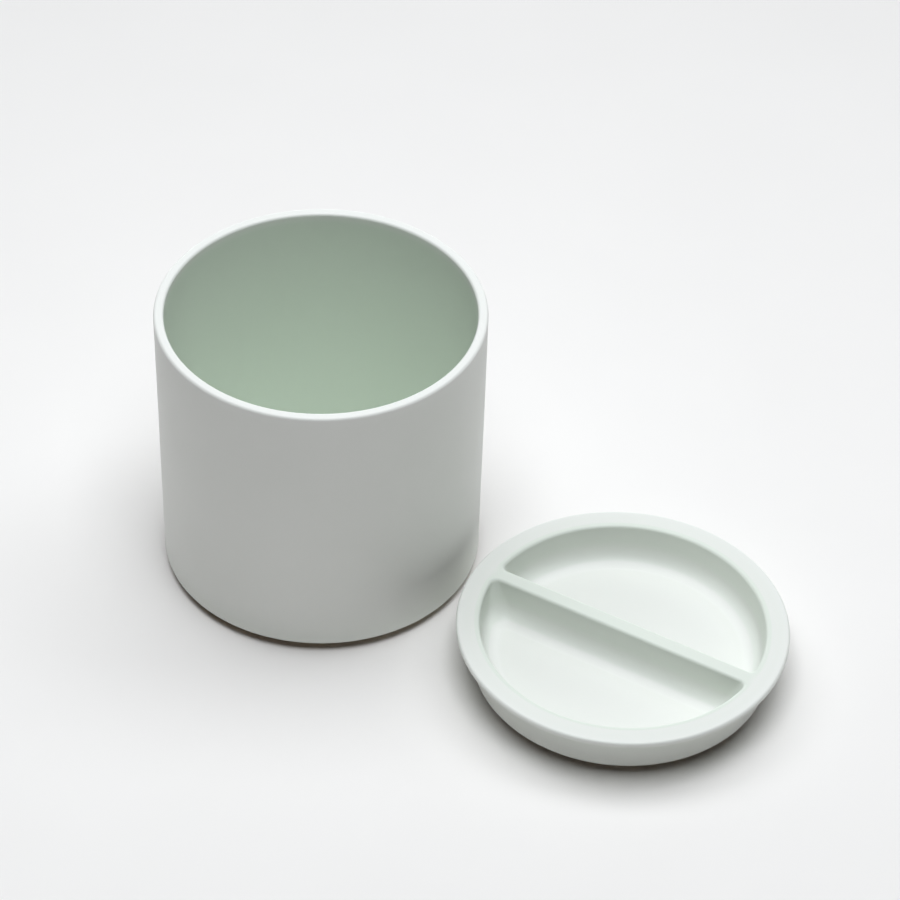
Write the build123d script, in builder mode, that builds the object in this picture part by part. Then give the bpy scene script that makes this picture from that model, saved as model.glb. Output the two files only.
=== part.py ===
"""Porcelain jar with its drop-in lid lying beside it.

Two fired pieces, each on a set-back foot ring that leaves a shadow gap under its wall. The vessel is a
straight-walled jar. The lid is a shallow dish: a flange on top, a spigot that drops into the jar's mouth,
and two finger pockets with a grip bar left between them.
Millimetres, +Z up, origin at the centre of the vessel's foot.
"""
from build123d import *
import math
import os

# Foot ring, the same under both pieces
foot_height = 3.4               # the gap between the table and the underside of each piece
foot_inset = 4.8                # from the wall to the ring
foot_width = 3.2
foot_rounding = 0.6
foot_root_rounding = 0.8        # where the ring grows out of the underside

# Vessel
vessel_height = foot_height + 100.0
rim_radius = 55.0               # outside, at the top
base_radius = 54.3              # outside, at the foot
mouth_radius = 51.6             # inside, straight down to where the lid's spigot ends
mouth_depth = 16.5
wall_above_floor = 3.6
vessel_floor = foot_height + 3.6    # height of the inside floor
floor_rounding = 8.0            # between the inside floor and the wall
rim_rounding = 1.1
base_rounding = 0.5

# Lid
lid_height = foot_height + 17.0
flange_radius = 55.4
flange_thickness = 2.0
flange_top_rounding = 1.0
flange_under_rounding = 0.5
spigot_top_radius = 50.6
spigot_base_radius = 49.6
spigot_rounding = 1.7

# Finger pockets, with the grip bar between them
pocket_radius = 47.6
pocket_floor = foot_height + 3.2    # height of the pocket floor
pocket_draft = 6.0              # degrees off vertical, on every pocket wall
pocket_floor_rounding = 5.5
pocket_corner_rounding = 2.0    # where the bar meets the ring, at the top
pocket_floor_corner_rounding = 7.0
pocket_edge_rounding = 1.2
bar_thickness = 5.4             # at the top
bar_offset = 0.7                # the bar stands this far off the lid's middle

# The lid lies beside the vessel, with its bar pointing at the vessel's axis
lid_distance = 117.6
lid_bearing = -29.4             # degrees from +X

lid_direction = Vector(1, 0, 0).rotate(Axis.Z, lid_bearing)
lid_centre = lid_direction * lid_distance
lid_base = Plane(origin=lid_centre, x_dir=lid_direction, z_dir=(0, 0, 1))
lid_section = Plane(origin=lid_centre, x_dir=lid_direction, z_dir=lid_direction.cross(Vector(0, 0, 1)))
vessel_section = Plane.XZ

os.makedirs("parts", exist_ok=True)


def round_corner(radius, height, rounding):
    """Round the open profile's corner at this radius and height."""
    nearest = vertices().sort_by_distance((radius, height))[0]
    fillet(nearest, rounding)


def foot_profile(outer_radius):
    """The points of the underside and its foot ring, from the axis outwards to the wall."""
    ring_outside = outer_radius - foot_inset
    ring_inside = ring_outside - foot_width
    return [
        (0, foot_height),
        (ring_inside, foot_height),
        (ring_inside, 0),
        (ring_outside, 0),
        (ring_outside, foot_height),
        (outer_radius, foot_height),
    ]


def round_foot(outer_radius, wall_rounding):
    """Round the foot ring's corners, and the corner where the underside meets the wall."""
    for ring_side in (outer_radius - foot_inset, outer_radius - foot_inset - foot_width):
        round_corner(ring_side, 0, foot_rounding)
        round_corner(ring_side, foot_height, foot_root_rounding)
    round_corner(outer_radius, foot_height, wall_rounding)


def finger_pocket(side):
    """The D-shaped hollow on one side of the bar, as a solid to cut away. side is 1 or -1."""
    depth = lid_height - pocket_floor
    draft_inset = depth * math.tan(math.radians(pocket_draft))
    facing = Plane(origin=lid_centre, x_dir=lid_direction * side, z_dir=(0, 0, 1))
    bar_face = bar_thickness / 2 - side * bar_offset
    with BuildPart() as pocket:
        for height, inset, corner_rounding in (
            (pocket_floor, draft_inset, pocket_floor_corner_rounding),
            (lid_height, 0, pocket_corner_rounding),
        ):
            with BuildSketch(facing.offset(height)) as outline:
                Circle(pocket_radius - inset)
                with Locations((0, bar_face + inset)):
                    Rectangle(
                        2 * pocket_radius,
                        2 * pocket_radius,
                        align=(Align.CENTER, Align.MIN),
                        mode=Mode.INTERSECT,
                    )
                fillet(outline.vertices(), corner_rounding)
        loft(ruled=True)
        fillet(pocket.edges().group_by(Axis.Z)[0], pocket_floor_rounding)
    return pocket.part


with BuildPart() as vessel:
    with BuildSketch(vessel_section):
        with BuildLine():
            Polyline(
                *foot_profile(base_radius),
                (rim_radius, vessel_height),
                (mouth_radius, vessel_height),
                (mouth_radius, vessel_height - mouth_depth),
                (base_radius - wall_above_floor, vessel_floor),
                (0, vessel_floor),
                close=True,
            )
        make_face()
        round_foot(base_radius, base_rounding)
        round_corner(rim_radius, vessel_height, rim_rounding)
        round_corner(mouth_radius, vessel_height, rim_rounding)
        round_corner(base_radius - wall_above_floor, vessel_floor, floor_rounding)
    revolve(axis=Axis.Z)
vessel.part.label = "vessel"
export_step(vessel.part, "parts/vessel.step")

with BuildPart() as lid:
    with BuildSketch(lid_section):
        with BuildLine():
            Polyline(
                *foot_profile(spigot_base_radius),
                (spigot_top_radius, lid_height - flange_thickness),
                (flange_radius, lid_height - flange_thickness),
                (flange_radius, lid_height),
                (0, lid_height),
                close=True,
            )
        make_face()
        round_foot(spigot_base_radius, spigot_rounding)
        round_corner(flange_radius, lid_height - flange_thickness, flange_under_rounding)
        round_corner(flange_radius, lid_height, flange_top_rounding)
    revolve(axis=Axis(lid_centre, (0, 0, 1)))
    for side in (1, -1):
        add(finger_pocket(side), mode=Mode.SUBTRACT)
    lid_top = lid.faces().sort_by(Axis.Z)[-1]
    fillet(lid_top.inner_wires().edges(), pocket_edge_rounding)
lid.part.label = "lid"
export_step(lid.part, "parts/lid.step")
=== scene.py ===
"""Looks of the porcelain jar and its lid: meshes, glaze, pale floor, studio light and camera.

Both pieces are drawn as outlines of straight runs and rounded corners. The vessel is one outline
turned about its axis. The lid is an outline turned about its axis, whose flat top is filled in
around two D-shaped finger pockets. Metres, +Z up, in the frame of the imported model.
"""

import math

import bmesh
import bpy
from mathutils import Matrix, Vector, noise


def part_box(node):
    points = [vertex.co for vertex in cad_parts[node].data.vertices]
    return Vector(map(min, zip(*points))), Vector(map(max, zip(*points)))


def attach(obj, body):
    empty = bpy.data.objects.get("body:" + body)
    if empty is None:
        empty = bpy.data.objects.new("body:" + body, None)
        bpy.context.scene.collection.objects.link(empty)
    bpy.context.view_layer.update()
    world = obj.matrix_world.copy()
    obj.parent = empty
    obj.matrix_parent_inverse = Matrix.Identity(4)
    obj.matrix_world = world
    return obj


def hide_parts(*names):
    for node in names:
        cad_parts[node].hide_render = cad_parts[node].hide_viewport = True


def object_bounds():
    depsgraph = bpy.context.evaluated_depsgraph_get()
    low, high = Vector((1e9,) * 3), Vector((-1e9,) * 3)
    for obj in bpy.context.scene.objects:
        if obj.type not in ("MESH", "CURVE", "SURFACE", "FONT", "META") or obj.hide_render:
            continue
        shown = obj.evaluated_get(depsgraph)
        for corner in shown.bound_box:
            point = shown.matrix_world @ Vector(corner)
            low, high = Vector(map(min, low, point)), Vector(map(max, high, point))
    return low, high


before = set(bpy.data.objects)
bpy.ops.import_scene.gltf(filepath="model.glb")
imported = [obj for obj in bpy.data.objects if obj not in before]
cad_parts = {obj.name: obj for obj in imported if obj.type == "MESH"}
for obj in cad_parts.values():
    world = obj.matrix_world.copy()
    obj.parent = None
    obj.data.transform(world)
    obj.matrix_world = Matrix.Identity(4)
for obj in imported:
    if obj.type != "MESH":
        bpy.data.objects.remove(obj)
cad_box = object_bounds()

MM = 0.001

# ---------------------------------------------------------------- sizes, all in millimetres

turn_steps = 288                # points round each turned ring
rounding_steps = 9              # points along each rounded corner
run_spacing = 2.5               # points along a straight run
run_end = 0.12                  # from a corner to a run's next point: the run's shading stays flat
shortest_run = 4 * run_end      # a shorter run gets no points
bar_steps = 60                  # points along a finger pocket's straight side
corner_steps = 10               # points round each of its two corners
arc_steps = 120                 # points along its curved side
floor_shares = (0.97, 0.85, 0.65, 0.4, 0.15)    # its floor's rings, as shares of the way out

wall_at_rim = 3.4
mouth_depth = 16.5              # the straight part of the mouth
mouth_blend_rounding = 40.0     # where the straight mouth turns into the tapered inside
wall_above_floor = 3.6
base_inset = 0.7                # the outside narrows by this much from rim to base
floor_thickness = 3.6
floor_rounding = 8.0
rim_rounding = 1.1
base_rounding = 0.5

foot_height = 3.4               # both pieces stand on a ring set back under the wall
foot_inset = 4.8
foot_width = 3.2
foot_rounding = 0.6
foot_root_rounding = 0.8

flange_thickness = 2.0
flange_overhang = 4.8
spigot_taper = 1.0
flange_top_rounding = 1.0
flange_under_rounding = 0.5
flange_root_rounding = 0.5      # between the flange's underside and the spigot
spigot_rounding = 1.7

lid_bearing = math.radians(-29.4)     # the way the grip bar points, from +X
bar_thickness = 5.4
bar_offset = 0.7
pocket_margin = 7.8             # from the flange's edge to the pockets' outer wall
pocket_floor = foot_height + 3.2
pocket_draft = math.radians(6.0)
pocket_corner = 2.0             # at the top
pocket_floor_corner = 7.0
pocket_edge_rounding = 1.2
pocket_floor_rounding = 5.5
pocket_lip = 0.2                # flat ring round each pocket, outside its edge rounding
plateau_margin = 0.8            # flat ring round both pockets, outside their edge rounding

edge_fade = 0.9                 # how soon the thin glaze at an outward corner gets thicker
hollow_glaze_and_shade_fade = 5.0               # how soon the thick glaze and painted shade in an inward corner fade out
gather_and_shade_depth = 4.0              # how far below its rim a hollow's glaze and painted shade are at their strongest
pocket_glaze_and_shade = 0.7              # strength of the glaze and painted shade in a pocket, next to the vessel's inside

unevenness = 0.06               # how far the fired wall strays from true, at full_swell_radius
full_swell_radius = 50.0
unevenness_size = 45.0          # the width of one such swell
swell_shift = 40                # how far apart in the noise the two pieces are, per metre apart

hair = 0.01                     # levels and radii closer than this count as the same


# ---------------------------------------------------------------- outlines

def corner_arc(before, corner, after, rounding):
    """Points of the arc that rounds a corner, from the run before it to the run after it."""
    back = (before - corner).normalized()
    onward = (after - corner).normalized()
    half = back.angle(onward) / 2
    centre = corner + (back + onward).normalized() * (rounding / math.sin(half))
    first = corner + back * (rounding / math.tan(half)) - centre
    last = corner + onward * (rounding / math.tan(half)) - centre
    sweep = first.angle_signed(last)
    arc = []
    for step in range(rounding_steps + 1):
        angle = -sweep * step / rounding_steps
        spoke = Vector((
            first.x * math.cos(angle) - first.y * math.sin(angle),
            first.x * math.sin(angle) + first.y * math.cos(angle),
        ))
        arc.append(centre + spoke)
    return arc


def run_between(start, end):
    """Points strictly between the two ends of a straight run, with one close to either end."""
    length = (end - start).length
    if length < shortest_run:
        return []
    steps = max(1, round(length / run_spacing))
    inner = [step / steps for step in range(1, steps)]
    shares = [run_end / length, *inner, 1 - run_end / length]
    return [start.lerp(end, share) for share in shares]


def outline_points(corners):
    """A list of (point, edge, hollow) along an outline whose corners are (across, up, rounding).

    edge is 1 on an outward corner, hollow is 1 in an inward one, and both fade away from it. hollow
    marks gathered glaze there and painted shade in the crease.
    """
    points = [Vector(corner[:2]) for corner in corners]
    path = [points[0]]
    turns = []
    for index in range(1, len(points) - 1):
        before, corner, after = points[index - 1:index + 2]
        rounding = corners[index][2]
        arc = corner_arc(before, corner, after, rounding) if rounding else [corner]
        path += run_between(path[-1], arc[0])
        outward = (corner - before).cross(after - corner) > 0
        turns.append((len(path), len(path) + len(arc) - 1, outward))
        path += arc
    path += run_between(path[-1], points[-1])
    path.append(points[-1])

    travelled = [0.0]
    for start, end in zip(path, path[1:]):
        travelled.append(travelled[-1] + (end - start).length)
    marked = []
    for index, point in enumerate(path):
        fades = {True: 0.0, False: 0.0}
        for first, last, outward in turns:
            gap = max(travelled[first] - travelled[index], travelled[index] - travelled[last], 0.0)
            reach = edge_fade if outward else hollow_glaze_and_shade_fade
            fades[outward] = max(fades[outward], math.exp(-gap / reach))
        marked.append((point, fades[True], fades[False]))
    return marked


def gathered_and_shaded(marked, top):
    """The same outline with its glaze thicker and its painted shade deeper below top, inside a vessel or
    a pocket.
    """
    thicker = []
    for point, edge, hollow in marked:
        depth_share = min(1.0, (top - point.y) / gather_and_shade_depth)
        thicker.append((point, edge, max(hollow, depth_share)))
    return thicker


def foot_corners(outer_radius, rounding):
    """The underside and its foot ring, from the axis outwards to the wall."""
    ring_outside = outer_radius - foot_inset
    ring_inside = ring_outside - foot_width
    return [
        (0, foot_height, 0),
        (ring_inside, foot_height, foot_root_rounding),
        (ring_inside, 0, foot_rounding),
        (ring_outside, 0, foot_rounding),
        (ring_outside, foot_height, foot_root_rounding),
        (outer_radius, foot_height, rounding),
    ]


# ---------------------------------------------------------------- meshes

clay_index = 1                  # each mesh's second material, after its glaze
facing_down = -0.9              # a face's normal points down if its z is below this
on_top = 0.001                  # a point is on top of a piece if it is this near its height
near_floor = 1.0                # a pocket's glaze and painted shade are not gathered this near to its floor


class Shell:
    """A mesh being built, in millimetres about its own axis, each vertex with its glaze and
    painted-shade marks.
    """

    def __init__(self, name, centre, bearing=0.0):
        self.name = name
        self.centre = centre
        self.bearing = bearing
        self.mesh = bmesh.new()
        self.edge = self.mesh.verts.layers.float.new("glaze_edge")
        self.hollow = self.mesh.verts.layers.float.new("glaze_pool_and_shade")

    def vertex(self, x, y, z, edge=0.0, hollow=0.0):
        """One vertex with its glaze and painted-shade marks."""
        made = self.mesh.verts.new((x, y, z))
        made[self.edge] = edge
        made[self.hollow] = hollow
        return made

    def circle(self, radius, height, edge, hollow):
        """One turned ring, or the single vertex on the axis."""
        if radius < hair:
            return [self.vertex(0, 0, height, edge, hollow)]
        ring = []
        for step in range(turn_steps):
            angle = math.tau * step / turn_steps
            x = radius * math.cos(angle)
            y = radius * math.sin(angle)
            ring.append(self.vertex(x, y, height, edge, hollow))
        return ring

    def band(self, inner, outer):
        """Faces between two rings, either of which may be a single vertex."""
        count = max(len(inner), len(outer))
        for step in range(count):
            following = (step + 1) % count
            corners = []
            for ring, places in ((inner, (step, following)), (outer, (following, step))):
                corners += [ring[place] for place in places] if len(ring) > 1 else [ring[0]]
            self.mesh.faces.new(corners)

    def turn(self, marked):
        """The outline turned about the axis. Gives back its last ring."""
        ring = None
        for point, edge, hollow in marked:
            following = self.circle(point.x, point.y, edge, hollow)
            if ring:
                self.band(ring, following)
            ring = following
        return ring

    def finish(self):
        """The finished object: fired unevenness, bare clay below, in metres and in its place."""
        bmesh.ops.recalc_face_normals(self.mesh, faces=self.mesh.faces)
        for vert in self.mesh.verts:
            outward = Vector((vert.co.x, vert.co.y, 0)) / full_swell_radius
            swell = noise.noise(vert.co / unevenness_size + Vector(self.centre) * swell_shift)
            vert.co += outward * (swell * unevenness)
        for face in self.mesh.faces:
            face.smooth = True
            level = face.calc_center_median().z
            on_foot = level < foot_height - hair
            on_underside = level < foot_height + hair and face.normal.z < facing_down
            if on_foot or on_underside:
                # bare clay below, whose dark tone is partly painted contact shade
                face.material_index = clay_index
        turned = Matrix.Rotation(self.bearing, 4, "Z") @ Matrix.Scale(MM, 4)
        place = Matrix.Translation(self.centre) @ turned
        bmesh.ops.transform(self.mesh, matrix=place, verts=self.mesh.verts)
        data = bpy.data.meshes.new(self.name)
        self.mesh.to_mesh(data)
        self.mesh.free()
        made = bpy.data.objects.new(self.name, data)
        bpy.context.scene.collection.objects.link(made)
        return made


def base_of(node):
    """The centre of a CAD node's base in metres, and its radius and height in millimetres."""
    low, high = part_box(node)
    centre = Vector(((low.x + high.x) / 2, (low.y + high.y) / 2, low.z))
    return centre, (high.x - low.x) / 2 / MM, (high.z - low.z) / MM


def make_vessel():
    """The vessel: one outline, from the middle of its underside round the rim to its floor."""
    centre, rim_radius, height = base_of("vessel")
    base_radius = rim_radius - base_inset
    mouth_radius = rim_radius - wall_at_rim
    shell = Shell("vessel_body", centre)
    marked = outline_points([
        *foot_corners(base_radius, base_rounding),
        (rim_radius, height, rim_rounding),
        (mouth_radius, height, rim_rounding),
        (mouth_radius, height - mouth_depth, mouth_blend_rounding),
        (base_radius - wall_above_floor, foot_height + floor_thickness, floor_rounding),
        (0, foot_height + floor_thickness, 0),
    ])
    mouth = next(index for index, mark in enumerate(marked) if mark[0].y > height - on_top)
    shell.turn(marked[:mouth] + gathered_and_shaded(marked[mouth:], height))
    return shell.finish()


def pocket_ring(shell, side, radius, marked_point, lid_height):
    """One level ring of a finger pocket: a D whose straight side faces the grip bar."""
    (inset, height), edge, hollow = marked_point
    depth_share = (lid_height - height) / (lid_height - pocket_floor)
    wall_inset = (lid_height - height) * math.tan(pocket_draft)
    corner = pocket_corner + (pocket_floor_corner - pocket_corner) * depth_share - (inset - wall_inset)
    outer = radius - inset
    bar_face = bar_thickness / 2 - side * bar_offset + inset
    corner_up = bar_face + corner
    corner_across = math.sqrt((outer - corner) ** 2 - corner_up ** 2)
    lean = math.atan2(corner_up, corner_across)

    outline = []
    for step in range(bar_steps):
        outline.append((corner_across * (2 * step / bar_steps - 1), bar_face))
    for step in range(corner_steps):
        angle = -math.pi / 2 + (lean + math.pi / 2) * step / corner_steps
        outline.append((corner_across + corner * math.cos(angle), corner_up + corner * math.sin(angle)))
    for step in range(arc_steps):
        angle = lean + (math.pi - 2 * lean) * step / arc_steps
        outline.append((outer * math.cos(angle), outer * math.sin(angle)))
    for step in range(corner_steps):
        angle = math.pi - lean + (lean + math.pi / 2) * step / corner_steps
        outline.append((-corner_across + corner * math.cos(angle), corner_up + corner * math.sin(angle)))
    # painted shade in the pocket, together with its gathered glaze
    glaze = hollow * pocket_glaze_and_shade
    return [shell.vertex(side * x, side * y, height, edge, glaze) for x, y in outline]


def make_pocket(shell, side, radius, lid_height):
    """One finger pocket, from its rim on the lid's top to its floor. Gives back the rim's ring."""
    floor_inset = (lid_height - pocket_floor) * math.tan(pocket_draft)
    marked = outline_points([
        (-pocket_edge_rounding - pocket_lip, lid_height, 0),
        (0, lid_height, pocket_edge_rounding),
        (floor_inset, pocket_floor, pocket_floor_rounding),
        (floor_inset + pocket_floor_rounding, pocket_floor, 0),
    ])
    wall_end = next(
        index for index, mark in enumerate(marked) if mark[0].y < pocket_floor + near_floor
    )
    marked = gathered_and_shaded(marked[:wall_end], lid_height) + marked[wall_end:]
    rings = [pocket_ring(shell, side, radius, point, lid_height) for point in marked]
    for inner, outer in zip(rings, rings[1:]):
        shell.band(inner, outer)
    floor_edge = rings[-1]
    floor_middle = sum((vert.co for vert in floor_edge), Vector()) / len(floor_edge)
    ring = floor_edge
    for share in floor_shares:
        following = []
        for vert in floor_edge:
            spot = floor_middle.lerp(vert.co, share)
            # the pocket floor's painted shade fades towards its middle
            following.append(shell.vertex(*spot, 0.0, vert[shell.hollow] * share))
        shell.band(ring, following)
        ring = following
    shell.band(ring, [shell.vertex(*floor_middle)])
    return rings[0]


def loop_edges(ring):
    """The edges round a ring."""
    edges = []
    for start, end in zip(ring, ring[1:] + ring[:1]):
        edges.append(next(edge for edge in start.link_edges if edge.other_vert(start) == end))
    return edges


def make_lid():
    """The lid: the outline of its underside, spigot and flange, and a top with two pockets."""
    centre, flange_radius, height = base_of("lid")
    spigot_top = flange_radius - flange_overhang
    spigot_base = spigot_top - spigot_taper
    pocket_radius = flange_radius - pocket_margin
    plateau = pocket_radius + pocket_edge_rounding + plateau_margin
    shell = Shell("lid_body", centre, lid_bearing)
    top_ring = shell.turn(outline_points([
        *foot_corners(spigot_base, spigot_rounding),
        (spigot_top, height - flange_thickness, flange_root_rounding),
        (flange_radius, height - flange_thickness, flange_under_rounding),
        (flange_radius, height, flange_top_rounding),
        (plateau, height, 0),
    ]))
    rims = [make_pocket(shell, side, pocket_radius, height) for side in (1, -1)]
    border = []
    for ring in (top_ring, *rims):
        border += loop_edges(ring)
    bmesh.ops.triangle_fill(shell.mesh, edges=border, use_beauty=True)
    return shell.finish()


# ---------------------------------------------------------------- materials

glaze_light = (0.812, 0.817, 0.783)
glaze_deep = (0.798, 0.805, 0.768)
# deeper, greener tone: glaze gathered in hollows, and painted shade inside the vessel and the pockets
pooled_glaze_and_shade_tone = (0.703, 0.775, 0.684)
glaze_thin_tone = (0.838, 0.842, 0.820)
glaze_roughness = (0.42, 0.50)
pool_and_shade_strength = 0.9           # how far each of these takes the glaze towards its own tone; the hollow one also paints shade
edge_strength = 0.4
grain_strength = 0.12
peel_rise = 0.02                # bump heights, in millimetres
grain_rise = 0.003

# dark, warm clay: the bare foot is real, but its dark tone is painted shade that deepens the contact
# shadow under both pieces
clay_and_shade_light = (0.36, 0.29, 0.20)
clay_and_shade_deep = (0.29, 0.23, 0.155)
clay_grit = (0.20, 0.16, 0.11)
clay_roughness = (0.72, 0.88)
grit_strength = 0.35
grit_rise = 0.03

floor_light = (0.885, 0.865, 0.845)
floor_lighter = (0.895, 0.875, 0.855)

noise_low = 0.3                 # Blender's noise lies mostly between these two
noise_high = 0.7


def node_material(name):
    """A material with its node tree and its Principled shader."""
    material = bpy.data.materials.new(name)
    material.use_nodes = True
    tree = material.node_tree
    shader = next(node for node in tree.nodes if node.type == "BSDF_PRINCIPLED")
    return material, tree, shader


def noise_field(tree, coordinates, size_mm, detail):
    """Soft noise whose features are about size_mm across, from 0 to 1."""
    field = tree.nodes.new("ShaderNodeTexNoise")
    field.inputs["Scale"].default_value = 1 / (size_mm * MM)
    field.inputs["Detail"].default_value = detail
    tree.links.new(coordinates, field.inputs["Vector"])
    return field.outputs["Fac"]


def ranged(tree, value, low, high):
    """Noise spread over low..high, from the range where it mostly lies."""
    node = tree.nodes.new("ShaderNodeMapRange")
    node.inputs["From Min"].default_value = noise_low
    node.inputs["From Max"].default_value = noise_high
    node.inputs["To Min"].default_value = low
    node.inputs["To Max"].default_value = high
    tree.links.new(value, node.inputs["Value"])
    return node.outputs["Result"]


def blended(tree, share, first, second):
    """first mixed towards second by share. Either colour is an output socket or three numbers."""
    node = tree.nodes.new("ShaderNodeMix")
    node.data_type = "RGBA"
    tree.links.new(share, node.inputs["Factor"])
    for socket, colour in ((node.inputs["A"], first), (node.inputs["B"], second)):
        if isinstance(colour, bpy.types.NodeSocket):
            tree.links.new(colour, socket)
        else:
            socket.default_value = (*colour, 1)
    return node.outputs["Result"]


def product(tree, first, second):
    """first times second, each an output socket or a number."""
    node = tree.nodes.new("ShaderNodeMath")
    node.operation = "MULTIPLY"
    for socket, value in zip(node.inputs, (first, second)):
        if isinstance(value, bpy.types.NodeSocket):
            tree.links.new(value, socket)
        else:
            socket.default_value = value
    return node.outputs["Value"]


def glaze_mark(tree, name):
    """One of the marks that the meshes carry: glaze_edge, or glaze_pool_and_shade for gathered glaze and
    painted shade.
    """
    node = tree.nodes.new("ShaderNodeAttribute")
    node.attribute_name = name
    return node.outputs["Fac"]


def bumped(tree, shader, layers):
    """Bump from (height socket, how high in millimetres), one on top of the other."""
    normal = None
    for height, rise in layers:
        node = tree.nodes.new("ShaderNodeBump")
        node.inputs["Strength"].default_value = 1
        node.inputs["Distance"].default_value = rise * MM
        tree.links.new(height, node.inputs["Height"])
        if normal:
            tree.links.new(normal, node.inputs["Normal"])
        normal = node.outputs["Normal"]
    tree.links.new(normal, shader.inputs["Normal"])


def celadon_glaze():
    """Satin celadon: pale where it runs thin over an edge, deeper and greener where it gathers in a
    hollow. That deeper tone is also painted shade inside the vessel and the pockets.
    """
    material, tree, shader = node_material("satin_celadon_glaze")
    coordinates = tree.nodes.new("ShaderNodeTexCoord").outputs["Object"]
    clouds = noise_field(tree, coordinates, size_mm=38, detail=3)
    grain = noise_field(tree, coordinates, size_mm=0.5, detail=2)
    peel = noise_field(tree, coordinates, size_mm=5, detail=2)

    pool_and_shade = product(tree, glaze_mark(tree, "glaze_pool_and_shade"), pool_and_shade_strength)
    on_edge = product(tree, glaze_mark(tree, "glaze_edge"), edge_strength)
    tone = blended(tree, ranged(tree, clouds, 0, 1), glaze_light, glaze_deep)
    tone = blended(tree, ranged(tree, grain, 0, grain_strength), tone, pooled_glaze_and_shade_tone)
    # painted shade: darker, greener glaze inside the vessel, in the pockets and in inward corners, on
    # top of gathered glaze
    tone = blended(tree, pool_and_shade, tone, pooled_glaze_and_shade_tone)
    tone = blended(tree, on_edge, tone, glaze_thin_tone)
    tree.links.new(tone, shader.inputs["Base Color"])

    tree.links.new(ranged(tree, clouds, *glaze_roughness), shader.inputs["Roughness"])
    shader.inputs["IOR"].default_value = 1.5
    bumped(tree, shader, [(peel, peel_rise), (grain, grain_rise)])
    return material


def dark_clay_and_contact_shade():
    """The unglazed underside and foot ring, with darker grit in it. Its dark warm tone is partly painted
    shade, deepening the contact shadow.
    """
    material, tree, shader = node_material("dark_clay_and_contact_shade")
    coordinates = tree.nodes.new("ShaderNodeTexCoord").outputs["Object"]
    clouds = noise_field(tree, coordinates, size_mm=9, detail=4)
    grit = noise_field(tree, coordinates, size_mm=0.35, detail=3)
    tone = blended(tree, ranged(tree, clouds, 0, 1), clay_and_shade_light, clay_and_shade_deep)
    tone = blended(tree, ranged(tree, grit, 0, grit_strength), tone, clay_grit)
    tree.links.new(tone, shader.inputs["Base Color"])
    tree.links.new(ranged(tree, grit, *clay_roughness), shader.inputs["Roughness"])
    bumped(tree, shader, [(grit, grit_rise)])
    return material


def floor_material():
    """Plain pale studio floor, very faintly mottled."""
    material, tree, shader = node_material("studio_floor")
    coordinates = tree.nodes.new("ShaderNodeTexCoord").outputs["Object"]
    mottle = noise_field(tree, coordinates, size_mm=60, detail=2)
    tone = blended(tree, ranged(tree, mottle, 0, 1), floor_light, floor_lighter)
    tree.links.new(tone, shader.inputs["Base Color"])
    shader.inputs["Roughness"].default_value = 0.9
    shader.inputs["Specular IOR Level"].default_value = 0.1
    return material


# ---------------------------------------------------------------- pieces

glaze = celadon_glaze()
clay = dark_clay_and_contact_shade()
for node, make, slot in (("vessel", make_vessel, "vessel_glaze"), ("lid", make_lid, "lid_glaze")):
    piece = make()
    piece.data.materials.append(glaze)
    piece.data.materials.append(clay)
    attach(piece, node)
    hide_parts(node)


# ---------------------------------------------------------------- studio

floor_size = 30.0
floor_squares = 8
floor_gap = 0.00005             # keeps the floor from sharing a plane with the feet

light_colour = (0.97, 1.0, 1.03)
fill_colour = (1.0, 0.95, 0.93, 1)
fill_strength = 0.02            # what the surroundings add to the light
backdrop_colour = (1.0, 0.98, 0.97, 1)
backdrop_strength = 0.9         # how bright the camera sees them past the floor

middle = (cad_box[0] + cad_box[1]) / 2
floor_level = cad_box[0].z

floor_mesh = bpy.data.meshes.new("studio_floor")
sheet = bmesh.new()
bmesh.ops.create_grid(sheet, x_segments=floor_squares, y_segments=floor_squares, size=floor_size / 2)
sheet.to_mesh(floor_mesh)
sheet.free()
floor = bpy.data.objects.new("studio_floor", floor_mesh)
floor.location.z = floor_level - floor_gap
bpy.context.scene.collection.objects.link(floor)
floor.data.materials.append(floor_material())


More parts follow.
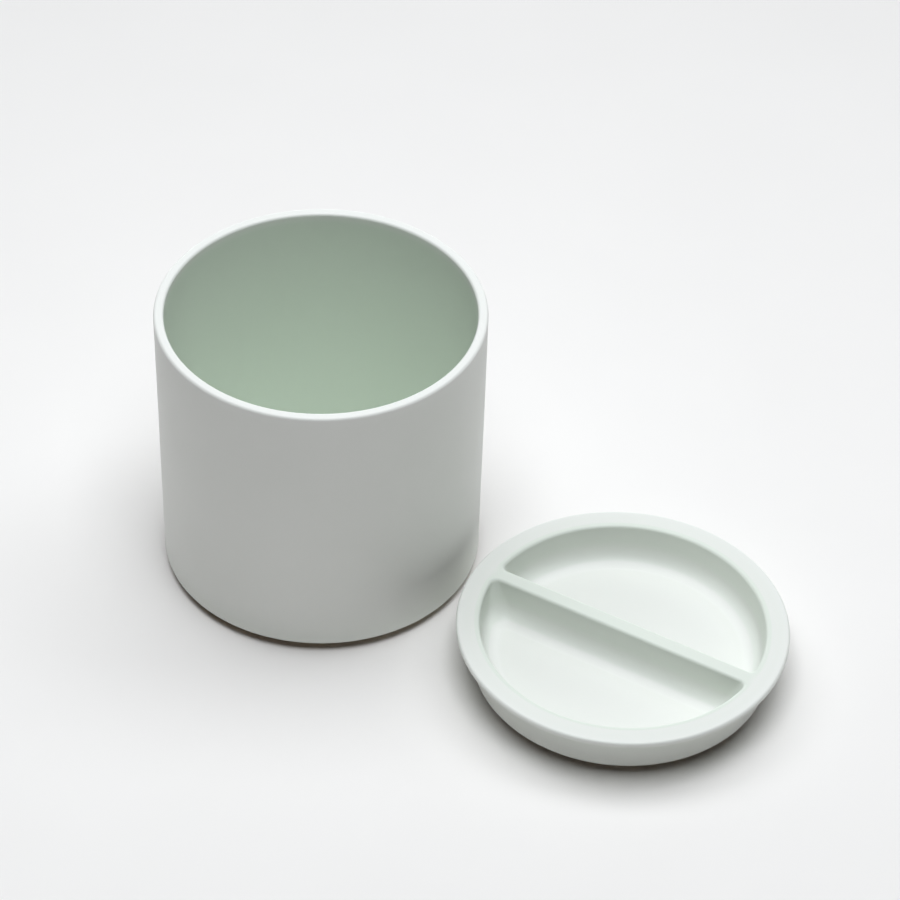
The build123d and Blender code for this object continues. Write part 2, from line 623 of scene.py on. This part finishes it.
def softbox(name, offset, width, height, watts):
    """A soft rectangular light at an offset from the foot of the object's middle, facing it."""
    data = bpy.data.lights.new(name, "AREA")
    data.shape = "RECTANGLE"
    data.size = width
    data.size_y = height
    data.energy = watts
    data.color = light_colour
    light = bpy.data.objects.new(name, data)
    light.location = Vector((middle.x, middle.y, floor_level)) + Vector(offset)
    light.rotation_euler = (-Vector(offset)).to_track_quat("-Z", "Y").to_euler()
    bpy.context.scene.collection.objects.link(light)


softbox("strip_overhead", offset=(0.0, 0.33, 1.2), width=1.92, height=0.6, watts=11.6)
softbox("box_in_front", offset=(0.0, -0.27, 1.2), width=0.62, height=0.6, watts=7.6)
softbox("strip_behind", offset=(0.0, 1.93, 0.3), width=3.0, height=0.5, watts=14.8)

world = bpy.data.worlds.new("studio")
world.use_nodes = True
bpy.context.scene.world = world
nodes = world.node_tree.nodes
fill = next(node for node in nodes if node.type == "BACKGROUND")
fill.inputs["Color"].default_value = fill_colour
fill.inputs["Strength"].default_value = fill_strength
backdrop = nodes.new("ShaderNodeBackground")
backdrop.inputs["Color"].default_value = backdrop_colour
backdrop.inputs["Strength"].default_value = backdrop_strength
seen = nodes.new("ShaderNodeLightPath")
choice = nodes.new("ShaderNodeMixShader")
output = next(node for node in nodes if node.type == "OUTPUT_WORLD")
links = world.node_tree.links
links.new(seen.outputs["Is Camera Ray"], choice.inputs[0])
links.new(fill.outputs[0], choice.inputs[1])
links.new(backdrop.outputs[0], choice.inputs[2])
links.new(choice.outputs[0], output.inputs["Surface"])


# ---------------------------------------------------------------- camera

camera_pitch = math.radians(41.29)    # below level
camera_roll = math.radians(1.616)
camera_distance = 1.1418
aim_offset = Vector((-0.0079, 0.0, 0.0177))     # from the object's middle
lens = 139.18
sensor_width = 36

forward = Vector((0, math.cos(camera_pitch), -math.sin(camera_pitch)))
upward = Vector((0, math.sin(camera_pitch), math.cos(camera_pitch)))
across = Vector((1, 0, 0))
right = across * math.cos(camera_roll) + upward * math.sin(camera_roll)
up = upward * math.cos(camera_roll) - across * math.sin(camera_roll)

camera_data = bpy.data.cameras.new("camera")
camera_data.lens = lens
camera_data.sensor_width = sensor_width
camera = bpy.data.objects.new("camera", camera_data)
bpy.context.scene.collection.objects.link(camera)
pose = Matrix((right, up, -forward)).transposed().to_4x4()
pose.translation = middle + aim_offset - forward * camera_distance
camera.matrix_world = pose
bpy.context.scene.camera = camera

bpy.context.scene.view_settings.view_transform = "Standard"
